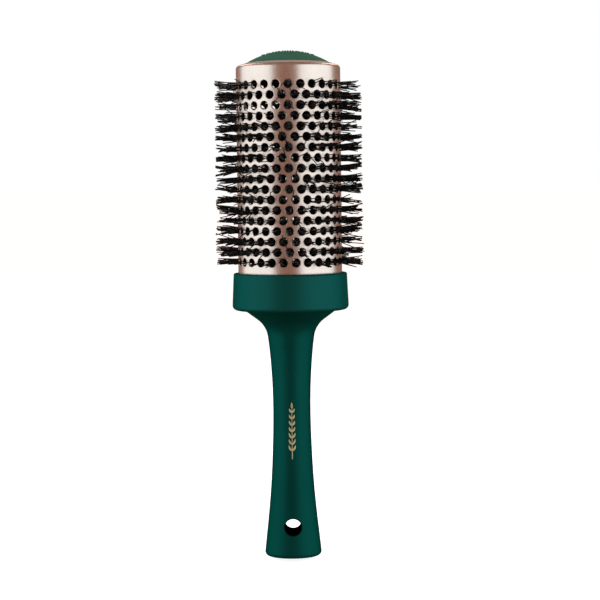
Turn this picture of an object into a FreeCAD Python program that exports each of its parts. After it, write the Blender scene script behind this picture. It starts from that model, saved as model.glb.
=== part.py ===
import FreeCAD, Part
import Sketcher
import math
import os
from FreeCAD import Placement, Rotation, Vector

# Round barrel brush for blow-drying, in millimetres.
# +Z runs up the brush's axis, from the tail of the handle (the origin) to the end cap's crown.
# -Y is the front: the hang hole in the tail runs along Y.
# Every sub-part is one object of the document, and its Label names its file in parts/.

doc = FreeCAD.newDocument("RoundBarrelBrush")

# ---------------------------------------------------------------- driving sizes

DRIVING_SIZES = [
    ("barrel_diameter", 53.0),
    ("barrel_wall", 1.0),
    ("lip_width", 5.1),
    ("lip_angle", 17.0),
    ("shoulder_radius", 2.0),
    ("row_count", 18),
    ("holes_per_row", 27),
    ("row_pitch", 5.21),
    ("hole_diameter", 4.2),
    ("lower_band", 6.0),
    ("upper_band", 10.27),
    ("seat_depth", 14.0),
    ("seat_clearance", 0.1),
    ("collar_wall", 2.35),
    ("collar_flare", 0.9),
    ("collar_height", 18.8),
    ("collar_edge_radius", 2.4),
    ("collar_rim_radius", 0.7),
    ("collar_ledge", 6.0),
    ("neck_height", 18.65),
    ("neck_radius", 12.55),
    ("neck_blend_radius", 13.0),
    ("neck_cone_angle", 36.4),
    ("grip_length", 108.3),
    ("grip_top_radius", 11.25),
    ("tail_width", 29.5),
    ("tail_flattening", 5.1),
    ("waist_width", 19.24),
    ("waist_flattening", 0.34),
    ("waist_height", 76.3),
    ("tail_edge_radius", 2.2),
    ("hang_hole_diameter", 8.5),
    ("hang_hole_height", 16.3),
    ("hang_rim_radius", 0.9),
    ("stem_diameter", 12.0),
    ("stem_length", 26.0),
    ("fit_clearance", 0.1),
    ("holder_flange", 3.5),
    ("holder_boss_height", 4.5),
    ("holder_boss_radius", 6.5),
    ("wire_diameter", 2.6),
    ("wire_gap", 0.06),
    ("twist_lead", 20.5),
    ("twist_start", -67.2),
    ("stem_end_wall", 4.4),
    ("wire_end_room", 0.6),
    ("tuft_root_diameter", 0.2),
    ("tuft_tip_diameter", 1.6),
    ("tuft_protrusion", 11.1),
    ("tuft_gap", 0.03),
    ("dome_height", 6.0),
    ("cap_wall", 1.8),
    ("cap_lip_clearance", 0.1),
    ("snap_depth", 2.9),
    ("snap_wall", 1.6),
    ("shoulder_room", 0.75),
    ("top_hole_margin", 2.4),
    ("top_boss_height", 3.6),
]

sheet = doc.addObject("Spreadsheet::Sheet", "Sizes")
for line_number, (alias, number) in enumerate(DRIVING_SIZES, start=1):
    sheet.set("A%d" % line_number, alias)
    sheet.set("B%d" % line_number, str(number))
    sheet.setAlias("B%d" % line_number, alias)
doc.recompute()


class Size:
    """A number together with the spreadsheet expression that it comes from."""

    def __init__(self, value, text):
        self.value = value
        self.text = text

    def _join(self, other, sign, value):
        return Size(value, "(%s %s %s)" % (self.text, sign, as_size(other).text))

    def __add__(self, other):
        return self._join(other, "+", self.value + as_size(other).value)

    def __sub__(self, other):
        return self._join(other, "-", self.value - as_size(other).value)

    def __mul__(self, other):
        return self._join(other, "*", self.value * as_size(other).value)

    def __truediv__(self, other):
        return self._join(other, "/", self.value / as_size(other).value)

    def tan(self):
        return Size(math.tan(math.radians(self.value)), "tan(%s * 1 deg)" % self.text)


def as_size(thing):
    """Wrap a bare number as a Size, so that both can stand in one sum."""
    return thing if isinstance(thing, Size) else Size(thing, repr(thing))


def cell(alias):
    """The size in the spreadsheet cell of that alias."""
    return Size(float(sheet.get(alias)), "Sizes.%s" % alias)


def count(alias):
    """The whole number in the spreadsheet cell of that alias."""
    return int(round(cell(alias).value))


# ---------------------------------------------------------------- derived sizes

ZERO = as_size(0.0)
barrel_r = cell("barrel_diameter") / 2
barrel_bore_r = barrel_r - cell("barrel_wall")
lip_r = barrel_r - cell("lip_width")
lip_slope = cell("lip_angle").tan()
collar_underside = cell("grip_length") + cell("neck_height")
collar_top = collar_underside + cell("collar_height")
seat_floor = collar_top - cell("seat_depth")
last_row = collar_top + cell("lower_band")
first_row = last_row + cell("row_pitch") * (cell("row_count") - 1)
shoulder_top = first_row + cell("upper_band")
lip_top = shoulder_top + cell("lip_width") * lip_slope
collar_bore_r = barrel_r + cell("seat_clearance")
collar_top_r = collar_bore_r + cell("collar_wall")
collar_foot_r = collar_top_r + cell("collar_flare")
neck_cone_r = collar_foot_r - cell("collar_ledge")
stem_r = cell("stem_diameter") / 2
stem_foot = seat_floor - cell("stem_length")
holder_top = seat_floor + cell("holder_flange") + cell("holder_boss_height")
wire_r = cell("wire_diameter") / 2
helix_r = wire_r + cell("wire_gap") / 2
core_r = helix_r + wire_r
socket_r = core_r + cell("fit_clearance")
socket_floor = stem_foot + cell("stem_end_wall")
wire_foot = socket_floor + cell("wire_end_room")
holder_r = barrel_bore_r - cell("fit_clearance")
cap_r = lip_r - cell("cap_lip_clearance")
top_holder_foot = first_row + cell("hole_diameter") / 2 + cell("top_hole_margin")
top_holder_top = shoulder_top - cell("shoulder_room")
wire_top = top_holder_top + cell("top_boss_height") - cell("cap_wall") - cell("wire_end_room")
tuft_tip_r = barrel_r + cell("tuft_protrusion")


# ---------------------------------------------------------------- helpers

def origin_feature(body, role):
    """The plane or axis of a body's own origin with that role."""
    return [item for item in body.Origin.OriginFeatures if item.Role == role][0]


def new_body(name):
    """An empty PartDesign body labelled with its sub-part's name."""
    body = doc.addObject("PartDesign::Body", name)
    body.Label = name
    return body


def outline_sketch(body, name, corners, domes=()):
    """A closed half-section on the body's XZ plane.

    corners are (radius, height) Sizes in order; each number in domes is the index of a side
    that is an arc centred on the axis instead of a straight line.
    """
    sketch = body.newObject("Sketcher::SketchObject", name)
    sketch.AttachmentSupport = [(origin_feature(body, "XZ_Plane"), "")]
    sketch.MapMode = "FlatFace"
    points = [Vector(radius.value, height.value, 0) for radius, height in corners]
    sides = len(points)
    starts = {}
    ends = {}
    for side in range(sides):
        here = points[side]
        there = points[(side + 1) % sides]
        if side in domes:
            # Centre on the axis, as far from one end as from the other.
            rise = there.y - here.y
            centre_height = (there.x ** 2 - here.x ** 2) / (2 * rise) + (there.y + here.y) / 2
            centre = Vector(0, centre_height, 0)
            radius = (here - centre).Length
            angles = [math.atan2(end.y - centre_height, end.x) for end in (here, there)]
            circle = Part.Circle(centre, Vector(0, 0, 1), radius)
            sketch.addGeometry(Part.ArcOfCircle(circle, min(angles), max(angles)), False)
            forwards = angles[0] < angles[1]
            starts[side], ends[side] = (1, 2) if forwards else (2, 1)
            sketch.addConstraint(Sketcher.Constraint("PointOnObject", side, 3, -2))
        else:
            sketch.addGeometry(Part.LineSegment(here, there), False)
            starts[side], ends[side] = 1, 2
    for side in range(sides):
        following = (side + 1) % sides
        sketch.addConstraint(
            Sketcher.Constraint("Coincident", side, ends[side], following, starts[following]))
    for side, (radius, height) in enumerate(corners):
        if radius is ZERO:
            sketch.addConstraint(Sketcher.Constraint("PointOnObject", side, starts[side], -2))
        else:
            bind_distance(sketch, "DistanceX", side, starts[side], radius)
        bind_distance(sketch, "DistanceY", side, starts[side], height)
    return sketch


def bind_distance(sketch, kind, side, end, size):
    """Hold a point of the sketch at a spreadsheet distance from the sketch's origin."""
    index = sketch.addConstraint(Sketcher.Constraint(kind, -1, 1, side, end, size.value))
    sketch.setExpression("Constraints[%d]" % index, size.text)


def revolve(body, sketch):
    """Turn a half-section once round the body's Z axis."""
    feature = body.newObject("PartDesign::Revolution", body.Name + "_turned")
    feature.Profile = sketch
    feature.ReferenceAxis = (origin_feature(body, "Z_Axis"), [""])
    feature.Angle = 360
    sketch.Visibility = False
    doc.recompute()
    return feature


def rings_at(shape, radius, height):
    """Names of the round edges with this radius whose centres lie on the axis at this height."""
    names = []
    for number, edge in enumerate(shape.Edges, start=1):
        curve = edge.Curve
        if not isinstance(curve, Part.Circle):
            continue
        on_axis = math.hypot(curve.Center.x, curve.Center.y) < 1e-4
        if on_axis and abs(curve.Center.z - height) < 1e-3 and abs(curve.Radius - radius) < 1e-3:
            names.append("Edge%d" % number)
    return names


def round_ring(body, name, corner, radius_size):
    """A fillet on the ring that the half-section's corner makes, with its radius on the sheet."""
    base = body.Tip
    names = rings_at(base.Shape, corner[0].value, corner[1].value)
    feature = body.newObject("PartDesign::Fillet", name)
    feature.Base = (base, names)
    feature.Radius = radius_size.value
    feature.setExpression("Radius", radius_size.text)
    body.Tip = feature
    doc.recompute()
    return feature


def cylinder(name, radius, height, placement):
    """A Part cylinder with its radius and height on the sheet."""
    tool = doc.addObject("Part::Cylinder", name)
    tool.setExpression("Radius", radius.text)
    tool.setExpression("Height", height.text)
    tool.Placement = placement
    return tool


def hole_angle(row, hole):
    """Angle of one hole in degrees: the first row has one at the front, the next is half a step on."""
    return -90 + (hole + 0.5 * (row % 2)) * 360 / count("holes_per_row")


def row_height(row):
    """Height of a row of holes, with row 0 next to the end cap."""
    return first_row.value - row * cell("row_pitch").value


def outwards(angle):
    """Unit vector that points away from the axis at that angle in degrees."""
    return Vector(math.cos(math.radians(angle)), math.sin(math.radians(angle)), 0)


# ---------------------------------------------------------------- handle

def make_handle():
    """The one-piece moulding: collar cup, neck and grip, with the hang hole in its tail."""
    neck_top = neck_corner_height()
    corners = [
        (ZERO, cell("grip_length")),
        (cell("grip_top_radius"), cell("grip_length")),
        (cell("neck_radius"), neck_top),
        (neck_cone_r, collar_underside),
        (collar_foot_r, collar_underside),
        (collar_top_r, collar_top),
        (collar_bore_r, collar_top),
        (collar_bore_r, seat_floor),
        (ZERO, seat_floor),
    ]
    head = new_body("handle_head")
    revolve(head, outline_sketch(head, "handle_head_outline", corners))
    round_ring(head, "neck_blend", corners[2], cell("neck_blend_radius"))
    round_ring(head, "collar_edge", corners[4], cell("collar_edge_radius"))
    round_ring(head, "collar_rim", corners[5], cell("collar_rim_radius"))

    grip = doc.addObject("Part::Loft", "handle_grip")
    grip.Sections = grip_sections()
    grip.Solid = True
    joined = doc.addObject("Part::MultiFuse", "handle_blank")
    joined.Shapes = [head, grip]
    doc.recompute()

    stem_bore = cylinder("stem_bore", stem_r + cell("fit_clearance"), cell("stem_length") + 0.5,
                         Placement(Vector(0, 0, stem_foot.value - 0.5), Rotation()))
    hang_bore = cylinder("hang_bore", cell("hang_hole_diameter") / 2, cell("tail_width") * 2,
                         Placement(Vector(0, cell("tail_width").value,
                                          cell("hang_hole_height").value),
                                   Rotation(Vector(1, 0, 0), 90)))
    bores = doc.addObject("Part::Compound", "handle_bores")
    bores.Links = [stem_bore, hang_bore]
    bored = doc.addObject("Part::Cut", "handle_bored")
    bored.Base = joined
    bored.Tool = bores
    doc.recompute()

    handle = doc.addObject("Part::Fillet", "handle")
    handle.Base = bored
    tail_edge = cell("tail_edge_radius").value
    hang_rim = cell("hang_rim_radius").value
    edges = []
    for number, edge in enumerate(bored.Shape.Edges, start=1):
        box = edge.BoundBox
        if box.ZMax < 0.01:
            edges.append((number, tail_edge, tail_edge))
        elif is_hang_rim(edge):
            edges.append((number, hang_rim, hang_rim))
    handle.Edges = edges
    handle.Label = "handle"
    return handle


def neck_corner_height():
    """Where the neck's side would meet the cone that spreads to the collar."""
    rise = (neck_cone_r - cell("neck_radius")) * cell("neck_cone_angle").tan()
    return collar_underside - rise


def grip_sections():
    """Ellipses up the grip: wide and slightly flat at the tail, round at the neck."""
    waist = cell("waist_height")
    top = cell("grip_length")
    tail_rx = cell("tail_width") / 2
    tail_ry = tail_rx - cell("tail_flattening") / 2
    waist_rx = cell("waist_width") / 2
    waist_ry = waist_rx - cell("waist_flattening") / 2
    top_r = cell("grip_top_radius")
    # (height, share of the way from the tail's size to the waist's)
    below_waist = [(ZERO, 0.0), (waist * 0.23, 0.365), (waist * 0.45, 0.68), (waist * 0.71, 0.9)]
    stations = []
    for height, share in below_waist:
        rx = tail_rx + (waist_rx - tail_rx) * share
        ry = tail_ry + (waist_ry - tail_ry) * share
        stations.append((height, rx, ry))
    stations.append((waist, waist_rx, waist_ry))
    stations.append((waist + (top - waist) * 0.52,
                     waist_rx + (top_r - waist_rx) * 0.27,
                     waist_ry + (top_r - waist_ry) * 0.27))
    stations.append((top, top_r, top_r))
    sections = []
    for number, (height, rx, ry) in enumerate(stations, start=1):
        ellipse = doc.addObject("Part::Ellipse", "grip_section_%d" % number)
        ellipse.MajorRadius = rx.value
        ellipse.MinorRadius = ry.value
        ellipse.setExpression("MajorRadius", rx.text)
        ellipse.setExpression("MinorRadius", ry.text)
        ellipse.setExpression("Placement.Base.z", height.text)
        sections.append(ellipse)
    doc.recompute()
    return sections


def is_hang_rim(edge):
    """True for the two curves where the hang hole breaks out of the tail."""
    radius = cell("hang_hole_diameter").value / 2
    height = cell("hang_hole_height").value
    box = edge.BoundBox
    spans_hole = abs(box.ZMax - height - radius) < 0.05 and abs(box.ZMin - height + radius) < 0.05
    return spans_hole and abs(box.YMax + box.YMin) > radius


# ---------------------------------------------------------------- barrel

def make_barrel():
    """The metal tube: spun-in lip at the top, rows of staggered round holes in its wall."""
    wall = cell("barrel_wall")
    lip_drop = wall / cos_of("lip_angle")
    inner_corner = shoulder_top - lip_drop + wall * lip_slope
    corners = [
        (barrel_bore_r, seat_floor),
        (barrel_r, seat_floor),
        (barrel_r, shoulder_top),
        (lip_r, lip_top),
        (lip_r, lip_top - lip_drop),
        (barrel_bore_r, inner_corner),
    ]
    tube = new_body("barrel_tube")
    revolve(tube, outline_sketch(tube, "barrel_outline", corners))
    round_ring(tube, "shoulder", corners[2], cell("shoulder_radius"))
    round_ring(tube, "shoulder_inside", corners[5], cell("shoulder_radius") - wall)

    tools = []
    reach = wall * 4
    for row in range(count("row_count")):
        for hole in range(count("holes_per_row")):
            direction = outwards(hole_angle(row, hole))
            start = direction * (barrel_r.value - 2.5 * wall.value)
            start.z = row_height(row)
            place = Placement(start, Rotation(Vector(0, 0, 1), direction))
            tools.append(cylinder("punch", cell("hole_diameter") / 2, reach, place))
    punches = doc.addObject("Part::Compound", "punches")
    punches.Links = tools
    barrel = doc.addObject("Part::Cut", "barrel")
    barrel.Base = tube
    barrel.Tool = punches
    barrel.Label = "barrel"
    return barrel


def cos_of(alias):
    """Cosine of the angle in a spreadsheet cell."""
    angle = cell(alias)
    return Size(math.cos(math.radians(angle.value)), "cos(%s * 1 deg)" % angle.text)


# ---------------------------------------------------------------- core holders and cap

def make_bottom_holder():
    """The plug that carries the core's foot: a flange in the barrel and a stem in the neck."""
    flange_top = seat_floor + cell("holder_flange")
    corners = [
        (ZERO, stem_foot),
        (stem_r, stem_foot),
        (stem_r, seat_floor),
        (holder_r, seat_floor),
        (holder_r, flange_top),
        (cell("holder_boss_radius"), flange_top),
        (cell("holder_boss_radius"), holder_top),
        (socket_r, holder_top),
        (socket_r, socket_floor),
        (ZERO, socket_floor),
    ]
    body = new_body("bottom_holder")
    revolve(body, outline_sketch(body, "bottom_holder_outline", corners))
    return body


def make_top_holder():
    """The disc under the barrel's lip: a socket for the core's top and a groove for the cap."""
    socket_top = wire_top + cell("wire_end_room")
    boss_top = top_holder_top + cell("top_boss_height")
    boss_r = socket_r + cell("snap_wall")
    snap_outer = cap_r - cell("cap_wall")
    snap_inner = snap_outer - cell("snap_wall")
    slack = cell("fit_clearance")
    groove_floor = top_holder_top - cell("snap_depth") - 0.2
    edge_height = top_holder_top - (holder_r - lip_r) * lip_slope
    corners = [
        (socket_r, top_holder_foot),
        (holder_r, top_holder_foot),
        (holder_r, edge_height),
        (lip_r, top_holder_top),
        (snap_outer + slack, top_holder_top),
        (snap_outer + slack, groove_floor),
        (snap_inner - slack, groove_floor),
        (snap_inner - slack, top_holder_top),
        (boss_r, top_holder_top),
        (boss_r, boss_top),
        (ZERO, boss_top),
        (ZERO, socket_top),
        (socket_r, socket_top),
    ]
    body = new_body("top_holder")
    revolve(body, outline_sketch(body, "top_holder_outline", corners))
    return body


def make_end_cap():
    """The domed cap that shows in the barrel's mouth, with a snap ring under it."""
    wall = cell("cap_wall")
    dome_foot = lip_top
    crown = dome_foot + cell("dome_height")
    snap_outer = cap_r - wall
    snap_inner = snap_outer - cell("snap_wall")
    corners = [
        (ZERO, crown),
        (ZERO, crown - wall),
        (snap_inner, dome_foot - 0.4),
        (snap_inner, top_holder_top - cell("snap_depth")),
        (snap_outer, top_holder_top - cell("snap_depth")),
        (snap_outer, top_holder_top),
        (cap_r, top_holder_top),
        (cap_r, dome_foot),
    ]
    body = new_body("end_cap")
    revolve(body, outline_sketch(body, "end_cap_outline", corners, domes=(1, 7)))
    return body


# ---------------------------------------------------------------- bristle core

def make_wire(name, start_angle):
    """One of the two wires twisted left-handed round each other along the axis."""
    spine = doc.addObject("Part::Helix", name + "_spine")
    spine.setExpression("Pitch", cell("twist_lead").text)
    spine.setExpression("Height", (wire_top - wire_foot).text)
    spine.setExpression("Radius", helix_r.text)
    spine.LocalCoord = "Left-handed"
    section = doc.addObject("Part::Circle", name + "_section")
    section.setExpression("Radius", wire_r.text)
    doc.recompute()
    run = spine.Shape.Edges[0]
    section.Placement = Placement(run.valueAt(run.FirstParameter),
                                  Rotation(Vector(0, 0, 1), run.tangentAt(run.FirstParameter)))
    wire = doc.addObject("Part::Sweep", name)
    wire.Sections = [section]
    wire.Spine = (spine, ["Edge1"])
    wire.Solid = True
    wire.Frenet = True
    wire.Label = name
    doc.recompute()
    turn = cell("twist_start").value + start_angle
    wire.Placement = Placement(Vector(0, 0, wire_foot.value), Rotation(Vector(0, 0, 1), turn))
    return wire


def tuft_root(row, hole):
    """How far from the axis a tuft starts: where it meets the twisted wires at its height."""
    climb = row_height(row) - wire_foot.value
    strand_angle = cell("twist_start").value - 360 * climb / cell("twist_lead").value
    off_strand = math.radians(hole_angle(row, hole) - strand_angle)
    lean = math.atan(2 * math.pi * helix_r.value / cell("twist_lead").value)
    strand = wire_r.value / math.cos(lean)
    half = cell("tuft_root_diameter").value / 2
    crowding = cell("tuft_root_diameter").value * count("holes_per_row") / (2 * math.pi)
    reaches = [crowding * 1.2]
    for side in (1, -1):
        for edge in (-half, 0, half):
            across = edge - side * helix_r.value * math.sin(off_strand)
            if abs(across) < strand:
                along = side * helix_r.value * math.cos(off_strand)
                reaches.append(along + math.sqrt(strand ** 2 - across ** 2))
    return max(reaches) + cell("tuft_gap").value


def make_bristle_row(row):
    """One row of tufts, each from the core through its own hole to the brush's outer radius."""
    tufts = []
    for hole in range(count("holes_per_row")):
        direction = outwards(hole_angle(row, hole))
        start = tuft_root(row, hole)
        tuft = doc.addObject("Part::Cone", "tuft")
        tuft.setExpression("Radius1", (cell("tuft_root_diameter") / 2).text)
        tuft.setExpression("Radius2", (cell("tuft_tip_diameter") / 2).text)
        tuft.setExpression("Height", (tuft_tip_r - start).text)
        place = direction * start
        place.z = row_height(row)
        tuft.Placement = Placement(place, Rotation(Vector(0, 0, 1), direction))
        tufts.append(tuft)
    label = "bristle_row_%02d" % (row + 1)
    bristles = doc.addObject("Part::Compound", label)
    bristles.Links = tufts
    bristles.Label = label
    return bristles


# ---------------------------------------------------------------- build, check and export

sub_parts = [
    make_handle(),
    make_barrel(),
    make_bottom_holder(),
    make_top_holder(),
    make_end_cap(),
    make_wire("core_wire_a", 0),
    make_wire("core_wire_b", 180),
]
for row_number in range(count("row_count")):
    sub_parts.append(make_bristle_row(row_number))
doc.recompute()

for item in doc.Objects:
    if "Invalid" in item.State or "Error" in item.State:
        raise RuntimeError("%s did not recompute: %s" % (item.Label, item.State))
for sub_part in sub_parts:
    shape = sub_part.Shape
    if shape.isNull() or not shape.isValid() or not shape.Solids:
        raise RuntimeError("%s has no valid solid" % sub_part.Label)

os.makedirs("parts", exist_ok=True)
for sub_part in sub_parts:
    sub_part.Shape.exportStep(os.path.join("parts", sub_part.Label + ".step"))
    box = sub_part.Shape.optimalBoundingBox(False)
    print("%-16s %3d solids %9.1f mm3  z %.2f to %.2f  x %.2f  y %.2f" % (
        sub_part.Label, len(sub_part.Shape.Solids), sub_part.Shape.Volume,
        box.ZMin, box.ZMax, box.XLength, box.YLength))
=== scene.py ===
"""Looks of a round barrel brush for blow-drying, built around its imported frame.

Metres, +Z up the brush's axis from the tail of the handle, -Y the front. The handle, end cap, holders
and core wires are the frame's own nodes with finishes on them. The perforated barrel and the bristles
are made here, and stand for the frame's plain barrel and tufts. The cap's dots and the foil sprig on
the grip are added.
"""

import logging
import math
from dataclasses import dataclass
from enum import Enum, IntEnum
from typing import Any, Sequence

import bmesh
import bpy
from mathutils import Matrix, Vector
from mathutils.bvhtree import BVHTree

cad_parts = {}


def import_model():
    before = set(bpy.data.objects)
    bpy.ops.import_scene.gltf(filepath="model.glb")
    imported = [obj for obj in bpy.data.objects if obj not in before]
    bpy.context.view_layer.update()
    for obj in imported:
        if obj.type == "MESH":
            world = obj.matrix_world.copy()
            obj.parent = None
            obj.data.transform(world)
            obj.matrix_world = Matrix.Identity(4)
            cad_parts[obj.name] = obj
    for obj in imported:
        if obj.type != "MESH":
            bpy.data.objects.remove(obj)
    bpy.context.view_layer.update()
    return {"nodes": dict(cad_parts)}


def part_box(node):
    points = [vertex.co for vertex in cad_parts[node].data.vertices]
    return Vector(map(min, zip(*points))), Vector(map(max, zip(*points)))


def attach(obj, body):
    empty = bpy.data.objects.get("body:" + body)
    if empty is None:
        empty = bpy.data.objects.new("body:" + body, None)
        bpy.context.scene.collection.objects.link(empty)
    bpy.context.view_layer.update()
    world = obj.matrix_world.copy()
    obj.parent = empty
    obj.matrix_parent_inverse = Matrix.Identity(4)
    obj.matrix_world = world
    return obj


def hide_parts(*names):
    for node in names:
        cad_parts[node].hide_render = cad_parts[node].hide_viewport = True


LOG = logging.getLogger("round_barrel_brush")
MM = 0.001
WHITE = (1.0, 1.0, 1.0)
NOISE_MIDDLE = 0.5
WHOLE_NUDGE = 1e-4  # keeps a quotient that should be whole from being rounded down
BODY = "root"

Triple = tuple[float, float, float]
Colour = Triple
Pair = tuple[float, float]


class Slot(Enum):
    """Material slots of the record, one named with each new piece."""

    HANDLE = "handle_green"
    CAP = "cap_green"
    BARREL = "barrel_metal"
    BRISTLE = "bristle_nylon"


class Draw(IntEnum):
    """What a filament's random numbers are for; the value tells one draw from another."""

    LENGTH = 1
    HOLE_LENGTH = 2
    PLACE_ANGLE = 3
    PLACE_REACH = 4
    HOLE_LEAN = 5
    LEAN = 6
    HOLE_SWING = 7
    SWING = 8
    GATHER = 9
    BOW = 10
    MISSING = 11
    STRAY = 12


# ------------------------------------------------------------------ node trees as expressions


class Signal:
    """One output socket of a node; arithmetic on it adds Math nodes to its tree."""

    def __init__(self, graph: "Graph", node: bpy.types.Node, output: int | str = 0) -> None:
        """Wrap one output of a node; an end node has none."""
        self.graph = graph
        self.node = node
        self.socket = node.outputs[output] if node.outputs else None

    def output(self, key: int | str) -> "Signal":
        """Another output of the same node."""
        return Signal(self.graph, self.node, key)

    def maths(self, operation: str, other: Any = None) -> "Signal":
        """This signal put through a Math node, with an optional second value."""
        inputs = {0: self} if other is None else {0: self, 1: other}
        return self.graph.node("ShaderNodeMath", {"operation": operation}, inputs)

    def reflected(self, operation: str, other: Any) -> "Signal":
        """A Math node with the other value first and this signal second."""
        return self.graph.node("ShaderNodeMath", {"operation": operation}, {0: other, 1: self})

    def __add__(self, other: Any) -> "Signal":
        """Sum."""
        return self.maths("ADD", other)

    def __radd__(self, other: Any) -> "Signal":
        """Sum with a plain number first."""
        return self.reflected("ADD", other)

    def __sub__(self, other: Any) -> "Signal":
        """Difference."""
        return self.maths("SUBTRACT", other)

    def __rsub__(self, other: Any) -> "Signal":
        """Difference with a plain number first."""
        return self.reflected("SUBTRACT", other)

    def __mul__(self, other: Any) -> "Signal":
        """Product."""
        return self.maths("MULTIPLY", other)

    def __rmul__(self, other: Any) -> "Signal":
        """Product with a plain number first."""
        return self.reflected("MULTIPLY", other)

    def __truediv__(self, other: Any) -> "Signal":
        """Quotient."""
        return self.maths("DIVIDE", other)

    def __pow__(self, other: Any) -> "Signal":
        """Power."""
        return self.maths("POWER", other)

    def __gt__(self, other: Any) -> "Signal":
        """One where this is greater, else nought."""
        return self.maths("GREATER_THAN", other)

    def between(self, low: float, high: float) -> "Signal":
        """Nought at or below low, one at or above high, smooth between them."""
        settings = {"interpolation_type": "SMOOTHSTEP", "clamp": True}
        return self.graph.node("ShaderNodeMapRange", settings, {0: self, 1: low, 2: high})


class Graph:
    """A shader or geometry node tree that is written as calls."""

    def __init__(self, tree: bpy.types.NodeTree) -> None:
        """Start on a tree that may already hold nodes."""
        self.tree = tree

    def node(self, kind: str, settings: dict[str, Any] | None = None,
             inputs: dict[int | str, Any] | None = None, output: int | str = 0) -> Signal:
        """Add one node.

        Args:
            kind: the node's type name.
            settings: its properties, which are set before its sockets.
            inputs: values or Signals by the socket's index or name.
            output: the output that the returned Signal stands for.

        Returns:
            The Signal of that output.
        """
        made = self.tree.nodes.new(kind)
        for key, value in (settings or {}).items():
            setattr(made, key, value)
        for key, value in (inputs or {}).items():
            if isinstance(value, Signal):
                self.tree.links.new(value.socket, made.inputs[key])
            else:
                made.inputs[key].default_value = value
        return Signal(self, made, output)

    def mix_colour(self, factor: Any, first: Any, second: Any) -> Signal:
        """Blend two colours, or colour Signals: the first at factor nought, the second at one."""
        inputs = {0: factor, 6: opaque(first), 7: opaque(second)}
        return self.node("ShaderNodeMix", {"data_type": "RGBA"}, inputs, 2)


def opaque(colour: Any) -> Any:
    """A colour with an alpha of one, or the Signal as it is."""
    return colour if isinstance(colour, Signal) else (*colour, 1.0)


class FinishGraph(Graph):
    """A new material with one Principled shader and the patterns that feed it."""

    def __init__(self, name: str) -> None:
        """Make the material and its shader."""
        self.material = bpy.data.materials.new(name)
        self.material.use_nodes = True
        super().__init__(self.material.node_tree)
        self.tree.nodes.clear()
        self.shader = self.node("ShaderNodeBsdfPrincipled", output="BSDF")
        self.node("ShaderNodeOutputMaterial", inputs={"Surface": self.shader})
        self.place = self.node("ShaderNodeTexCoord", output="Object")
        split = self.node("ShaderNodeSeparateXYZ", inputs={0: self.place})
        self.x = split
        self.y = split.output(1)
        self.z = split.output(2)

    def feed(self, **sockets: Any) -> None:
        """Set or link the shader's sockets.

        Args:
            sockets: a value or Signal by socket name, written with underscores for spaces.
        """
        for key, value in sockets.items():
            socket = self.shader.node.inputs[key.replace("_", " ")]
            if isinstance(value, Signal):
                self.tree.links.new(value.socket, socket)
            else:
                socket.default_value = value

    def noise(self, size_mm: float, detail: float = 2.0, stretch: Triple = (1, 1, 1)) -> Signal:
        """Noise in object space whose lumps are about size_mm across, from nought to one.

        Args:
            size_mm: the width of one lump.
            detail: octaves of finer noise.
            stretch: how many times longer the lumps are along X, Y and Z.

        Returns:
            The noise's value.
        """
        shrink = tuple(1 / part for part in stretch)
        mapped = self.node("ShaderNodeMapping", inputs={"Vector": self.place, "Scale": shrink})
        inputs = {"Vector": mapped, "Scale": 1 / (size_mm * MM), "Detail": detail}
        return self.node("ShaderNodeTexNoise", inputs=inputs)

    def wander(self, middle: float, *parts: tuple[Signal, float]) -> Signal:
        """A number that wanders about its middle.

        Args:
            middle: the number where every noise is at its own middle.
            parts: each noise, and how far the number swings from its least to its greatest value.

        Returns:
            The middle with every swing added.
        """
        swings = [(noise - NOISE_MIDDLE) * swing for noise, swing in parts]
        total = swings[0]
        for swing in swings[1:]:
            total = total + swing
        return total + middle

    def bump(self, height: Signal, depth_mm: float, strength: float) -> Signal:
        """A Bump node on a height from nought to one that is depth_mm deep."""
        inputs = {"Height": height, "Distance": depth_mm * MM, "Strength": strength}
        return self.node("ShaderNodeBump", inputs=inputs, output="Normal")


# ------------------------------------------------------------------ finishes


@dataclass(frozen=True)
class Finish:
    """What every finish has: its name, the colours that it mottles between, and its roughness."""

    name: str
    colour: Colour
    shade: Colour
    roughness: float


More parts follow.
